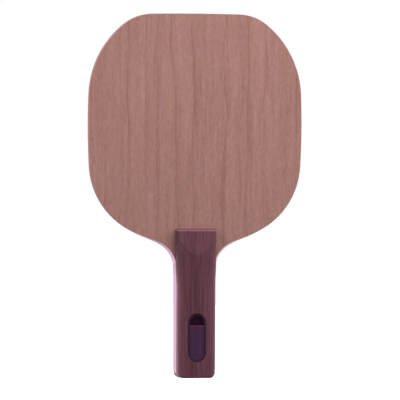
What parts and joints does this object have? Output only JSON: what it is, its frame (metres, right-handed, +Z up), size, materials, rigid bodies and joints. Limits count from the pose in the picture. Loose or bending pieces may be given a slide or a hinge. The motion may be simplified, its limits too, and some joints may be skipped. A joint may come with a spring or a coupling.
{
  "type": "table tennis paddle",
  "caption": "Bare wooden table tennis paddle blade: rounded square head of glued plies, straight handle of two crowned scales, pill-shaped badge insert.",
  "frame": {"origin": "middle of the butt end, the flat lower end of the handle, halfway between the front and back faces", "axes": "+Z up the handle to the top of the head, +X to the right as seen from the front, -Y out of the front face"},
  "size_m": [0.1508, 0.0236, 0.2542],
  "materials": {
    "face_veneer": "open-grained reddish veneer, sanded and thinly sealed",
    "cross_ply": "pale wood, grain across the handle, sanded edge",
    "long_ply": "pale wood, grain along the handle, sanded edge",
    "core_ply": "light pale core wood, grain across the handle, sanded edge",
    "handle_scale": "dark plum-brown hardwood, satin, rounded and sealed",
    "badge_tray": "moulded dark violet plastic, satin rim",
    "badge_plate": "thin dark plum plate, satin gloss"
  },
  "bodies": {
    "root": {"front_face_veneer": "face_veneer", "front_cross_ply": "cross_ply", "front_long_ply": "long_ply", "core_ply": "core_ply", "back_long_ply": "long_ply", "back_cross_ply": "cross_ply", "back_face_veneer": "face_veneer", "front_handle_scale": "handle_scale", "back_handle_scale": "handle_scale", "badge_tray": "badge_tray", "badge_plate": "badge_plate"}
  },
  "joints": []
}
